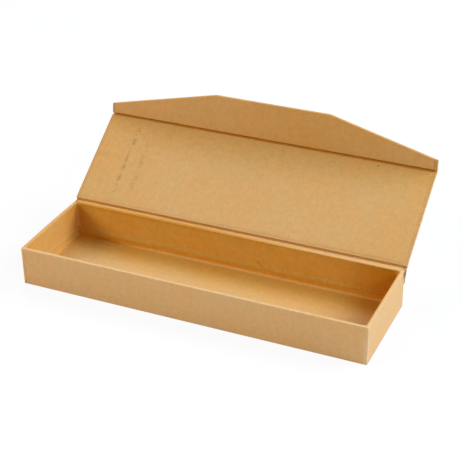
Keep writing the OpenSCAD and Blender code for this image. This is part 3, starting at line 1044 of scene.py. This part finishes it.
def sheet_shell(half_x, low, high, top, rows, fade, marks=()):
    """A liner sheet glued on the wrap: its edge stands a little proud."""
    bottom = top - LINER_LIFT - RELIEF - TINY
    return slab(half_x, low, high, bottom, top, SHEET_RADIUS, rows, marks, relief=SHEET_RELIEF, fade=fade)


# Painted shade on the lid's faces
FADE_START = 62 * MM
FADE_SHARE = 0.58
LEFT_FADE_START = -70 * MM
LEFT_FADE_SHARE = 0.3
RIGHT_FADE_START = 110 * MM
RIGHT_FADE_SHARE = 0.2


def lid_shade_fade(x, y):
    """Painted shade: the lid's colour is deeper towards the crease, in the flap's shade, and towards both
    ends.
    """
    up = FADE_SHARE * rise(y, FADE_START, lid_end)
    left = LEFT_FADE_SHARE * rise(-x, -LEFT_FADE_START, lid_half)
    right = RIGHT_FADE_SHARE * rise(x, RIGHT_FADE_START, lid_half)
    return max(up, left, right)


# The shares (1.0, 0.4) paint shade on the lid's near and far edges
lid_shells = panel_shells(lid_half, lid_start, lambda x: lid_end, lid_bottom, lid_top, LID_ROWS,
                          (1.0, 0.4), lid_shade_fade)
lid_paper = piece("lid_paper", lid_shells, LID_AXES, lid_kraft, seed=31)
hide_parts("lid_wrap")
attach(lid_paper, "lid")

sheet = sheet_shell(lid_half - liner_margin, lid_start + liner_margin, lambda x: lid_end - liner_margin,
                    lid_top, LID_ROWS, lid_shade_fade)
lid_lining = piece("lid_lining", [sheet], LID_AXES, liner_kraft, seed=41, ripples=(90 * MM, 26 * MM))
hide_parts("lid_liner")
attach(lid_lining, "lid")


# The flap

FLAP_STAIN_MIDDLE = 45 * MM
FLAP_STAIN_REACH = 62 * MM
FLAP_STAIN_SHARE = 0.28


def flap_fade(x, y):
    """The flap's paper is deeper in colour right of its middle."""
    return FLAP_STAIN_SHARE * math.exp(-((x - FLAP_STAIN_MIDDLE) / FLAP_STAIN_REACH) ** 2)


kinks = (flat_left, flat_right)
# The shares (1.0, 0.3) paint shade on the flap's near and far edges
flap_shells = panel_shells(flap_half, flap_start, flap_edge, flap_bottom, flap_top, FLAP_ROWS,
                           (1.0, 0.3), flap_fade, kinks)
flap_paper = piece("flap_paper", flap_shells, FLAP_AXES, flap_kraft, seed=51)
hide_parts("flap_wrap")
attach(flap_paper, "flap")


def flap_sheet_edge(x):
    return flap_edge(x) - liner_margin * math.sqrt(1 + slope_at(flap_edge, x) ** 2)


sheet = sheet_shell(flap_half - liner_margin, flap_start + liner_margin, flap_sheet_edge, flap_top,
                    FLAP_SHEET_ROWS, flap_fade, kinks)
flap_lining = piece("flap_lining", [sheet], FLAP_AXES, flap_kraft, seed=61)
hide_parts("flap_liner")
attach(flap_lining, "flap")


# The hinge papers, each between two bodies

HINGE_PAPER = 0.34 * MM
HINGE_SINK = 0.1 * MM
# The amplitude, length and phase of each wave along the outer hinge paper
HINGE_WAVES = ((0.12 * MM, 17 * MM, 0.6), (0.08 * MM, 6.3 * MM, 0.0))
COVER_LAP = 4 * MM
paper_half, _, leave_z = spine_high
lid_foot = placed(LID_AXES, [[0, lid_start, lid_bottom]])[0]
_, up_lid, out_of_lid = LID_AXES[1].T


def outer_hinge_line(x):
    """Up the back wall, off it in an arc, and on to the lid's outer face."""
    y = outer_y + paper / 2
    start = (y, leave_z)
    end = (lid_foot - out_of_lid * HINGE_SINK)[1:]
    dy, dz = end - start
    radius = (dy * dy + dz * dz) / (2 * dy)
    sweep_angle = math.degrees(math.atan2(dz, radius - dy))
    points = [(y, spine_low.z), *line((y, spine_low.z), start, 8)]
    points += arc((y + radius, leave_z), radius, 180, 180 - sweep_angle, 12)
    lap = end + up_lid[1:] * COVER_LAP
    points += [*line(end, lap, 4), tuple(lap)]
    wave = sum(size * math.sin(x / length + phase) for size, length, phase in HINGE_WAVES)
    free = [math.sin(math.pi * min(max((z - leave_z) / dz, 0), 1)) for _, z in points]
    return [(py + wave * f, pz) for (py, pz), f in zip(points, free)]


SPINE_STAND = 0.1 * MM
SPINE_FLARE = 2 * MM
spine_half = cad_high.x - SPINE_STAND
wide_stations = spread(-spine_half, spine_half, STATION)
spine_sheet = ribbon(outer_hinge_line, wide_stations, HINGE_PAPER, (1, 2, 0), wear_and_highlight=EDGE_WEAR)
free = rise(spine_sheet.points[:, 2], leave_z - SPINE_FLARE, leave_z)
reach = paper_half + (spine_half - paper_half) * free
spine_sheet.points[:, 0] = np.clip(spine_sheet.points[:, 0], -reach, reach)
spine_paper = piece("spine_and_outer_hinge", [spine_sheet], PART_AXES, spine_kraft, seed=71)
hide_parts("spine_paper", "hinge_outer_paper")
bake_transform(spine_paper)

INNER_PAPER = 0.24 * MM
INNER_BEND = 0.6 * MM
INNER_CROWN = 0.12 * MM
INNER_SINK = 0.35 * MM
INNER_GAP = 0.2 * MM
INNER_RISE = (0.6 * MM, 1.0 * MM)
INNER_WEAR_AND_LIGHT = 0.55
GAP_SHADOW_LENGTH = 3 * MM
inner_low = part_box("hinge_inner_paper")[0]


def inner_hinge_line(x):
    """Up behind the rim, level to the foot of the lid, and up the lid's edge."""
    behind = outer_y + INNER_PAPER / 2 + TINY
    level = rim_z - INNER_PAPER / 2 - INNER_SINK
    foot = (lid_foot[1] + out_of_lid[1] * INNER_RISE[0] - INNER_GAP, level)
    up = (foot[0] + out_of_lid[1] * INNER_RISE[1], foot[1] + out_of_lid[2] * INNER_RISE[1])
    start = (behind, inner_low.z)
    bend = arc((behind + INNER_BEND, level - INNER_BEND), INNER_BEND, 180, 90)
    points = [start, *line(start, bend[0], 3), *bend]
    crown = INNER_CROWN * (1 + 0.5 * math.sin(x / (23 * MM)) + 0.3 * math.sin(x / (8 * MM)))
    for y, z in line(bend[-1], foot, 6):
        share = (y - bend[-1][0]) / (foot[0] - bend[-1][0])
        points.append((y, z + crown * math.sin(math.pi * share)))
    return points + [foot, up]


strip = ribbon(inner_hinge_line, spread(-paper_half, paper_half, STATION), INNER_PAPER, (1, 2, 0))
strip_x, strip_y, _ = strip.points.T
along = (strip_y - outer_y) / (lid_foot[1] - outer_y)
# Paler to the right by wear and painted light; the deeper colour of painted shade towards the lid's foot,
# and the painted gap shadow at both ends
strip.shares[:, 0] = INNER_WEAR_AND_LIGHT * rise(strip_x, *PALER_SPAN) * smooth(1.3 - along)
strip.shares[:, 1] = np.maximum(0.25, smooth(2.2 * along - 1.2))
at_end = rise(np.abs(strip_x), paper_half - GAP_SHADOW_LENGTH, paper_half)
strip.shares[:, 3] = np.maximum(at_end, 0.2 * smooth(3 * along - 2))
inner_hinge = piece("inner_hinge", [strip], PART_AXES, hinge_kraft, seed=81)
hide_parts("hinge_inner_paper")
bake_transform(inner_hinge)

CREASE_PRESS = 0.9 * MM
CREASE_STAND = 0.05 * MM
CREASE_SHADE = 0.6
bend_rise = flap_start / math.tan(flap_turn / 2)


def crease_line(x):
    """Round the outside of the bend, with a lap on each outer face."""
    radius = lid_top - lid_bottom + bend_rise - HINGE_PAPER / 2 + CREASE_STAND
    centre = (lid_end, lid_top + bend_rise)
    bend = arc(centre, radius, -90, -90 + math.degrees(flap_turn), 12)
    first, last = bend[0], bend[-1]
    before = (first[0] - COVER_LAP, first[1])
    after = (last[0] + math.cos(flap_turn) * COVER_LAP, last[1] + math.sin(flap_turn) * COVER_LAP)
    turns = np.linspace(0, math.pi, len(bend))
    bend = [tuple(np.array(p) + (np.array(centre) - p) / radius * CREASE_PRESS * math.sin(t) ** 2)
            for p, t in zip(bend, turns)]
    return [before, *line(before, first, 4), *bend, *line(last, after, 4), after]


strip = ribbon(crease_line, wide_stations, HINGE_PAPER, (1, 2, 0), wear_and_highlight=EDGE_WEAR)
# Painted shade: the side facing into the groove takes the deeper colour and is darkened
inner_side = np.tile(np.repeat([1, 0], len(crease_line(0))), len(wide_stations))
strip.shares[:, 1] = inner_side
strip.shares[:, 3] = CREASE_SHADE * inner_side
crease = piece("crease_cover", [strip], LID_AXES, hinge_kraft, seed=91)
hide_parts("crease_paper")
bend_start = placed(LID_AXES, [[0, lid_end, lid_bottom]])[0]
bend_end = placed(FLAP_AXES, [[0, flap_start, flap_bottom]])[0]
tuple(bend_start)
tuple(bend_end)
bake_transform(crease)


# Materials of the solids that stay

def dress(node, material):
    mesh = frame["nodes"][node].data
    mesh.materials.clear()
    mesh.materials.append(material)


for part in ("base", "front", "back", "left", "right", "lid", "flap"):
    dress(part + "_board", board_grey)
dress("base_paper", base_kraft)
dress("corner_stays", tape_tan)
dress("closure_magnets", magnet_metal)
dress("flap_discs", disc_metal)


# Floor, light and camera

def seen_directly(g):
    """1 for rays from the camera, a reflection or glass, and 0 for light between surfaces."""
    path = g.add("LightPath").outputs
    seen = g.math("MAXIMUM", path["Is Camera Ray"], path["Is Glossy Ray"])
    return g.math("MAXIMUM", seen, path["Is Transmission Ray"])


def studio_floor():
    g = Graph("studio_floor")
    soft = g.straight(g.noise(g.place(), 2.0, 2.0), 0.3, 0.7, 0.985, 1.0)
    paint = g.add("BsdfDiffuse", {"Color": g.scaled((0.86, 0.86, 0.86), soft)}).outputs[0]
    bright = g.add("BsdfDiffuse", {"Color": WHITE}).outputs[0]
    white = g.add("Emission", {"Color": WHITE, "Strength": 1.0}).outputs[0]
    seen = seen_directly(g)
    both = g.add("MixShader", {0: seen, 1: paint, 2: bright}).outputs[0]
    return g.finish(g.add("MixShader", {0: g.product(seen, 0.90), 1: both, 2: white}))


FLOOR_SIDE = 12.0
bpy.ops.mesh.primitive_grid_add(x_subdivisions=8, y_subdivisions=8, size=FLOOR_SIDE)
floor = bpy.context.object
floor.name = "floor"
floor.data.materials.append(studio_floor())

sky = Graph("studio", bpy.data.worlds)
dark, white = (sky.add("Background", {"Color": WHITE, "Strength": s}).outputs[0] for s in (0.0, 1.0))
mixed = sky.add("MixShader", {0: seen_directly(sky), 1: dark, 2: white})
bpy.context.scene.world = sky.finish(mixed, "OutputWorld")


LAMP_DISTANCE = 3.0
LAMP_TARGET = Vector((0, 0, 0.03))


def lamp(name, azimuth, elevation, width, power, colour):
    """A round soft box that looks at the box. Azimuth goes from +Y towards +X. Angles are in degrees."""
    data = bpy.data.lights.new(name, "AREA")
    data.shape = "DISK"
    data.size = 2 * LAMP_DISTANCE * math.tan(math.radians(width / 2))
    data.energy = power
    data.color = colour
    obj = new_object(name, data)
    a, e = math.radians(azimuth), math.radians(elevation)
    way = Vector((math.cos(e) * math.sin(a), math.cos(e) * math.cos(a), math.sin(e)))
    obj.location = LAMP_TARGET + way * LAMP_DISTANCE
    obj.rotation_euler = way.to_track_quat("Z", "Y").to_euler()


COOL = (0.88, 0.98, 1.13)
COLD = (0.80, 0.97, 1.26)
WARM_LIGHT = (1.06, 0.99, 0.94)
NEUTRAL = (1.0, 1.0, 1.0)
lamp("right", 62, 36, 36, 84, COOL)
lamp("right_front", 120, 32, 24, 24, COLD)
lamp("back_left", 326, 50, 26, 24, NEUTRAL)
lamp("left", 238, 32, 28, 42, WARM_LIGHT)
lamp("front_left", 208, 14, 16, 8, WARM_LIGHT)

IMAGE_SIDE = 460
FOCAL_PIXELS = 1284.9
SENSOR_MM = 36.0
CAMERA_PLACE = (458.92 * MM, -960.83 * MM, 681.94 * MM)
CAMERA_RIGHT = (0.91345, 0.40676, -0.01294)
CAMERA_UP = (-0.19190, 0.45855, 0.86770)
CAMERA_BACK = (0.35888, -0.79012, 0.49691)
camera_data = bpy.data.cameras.new("camera")
camera_data.sensor_width = SENSOR_MM
camera_data.lens = FOCAL_PIXELS * SENSOR_MM / IMAGE_SIDE
camera = new_object("camera", camera_data)
turn = Matrix((CAMERA_RIGHT, CAMERA_UP, CAMERA_BACK)).transposed().to_4x4()
camera.matrix_world = Matrix.Translation(CAMERA_PLACE) @ turn
bpy.context.scene.camera = camera
bpy.context.scene.view_settings.view_transform = "Standard"
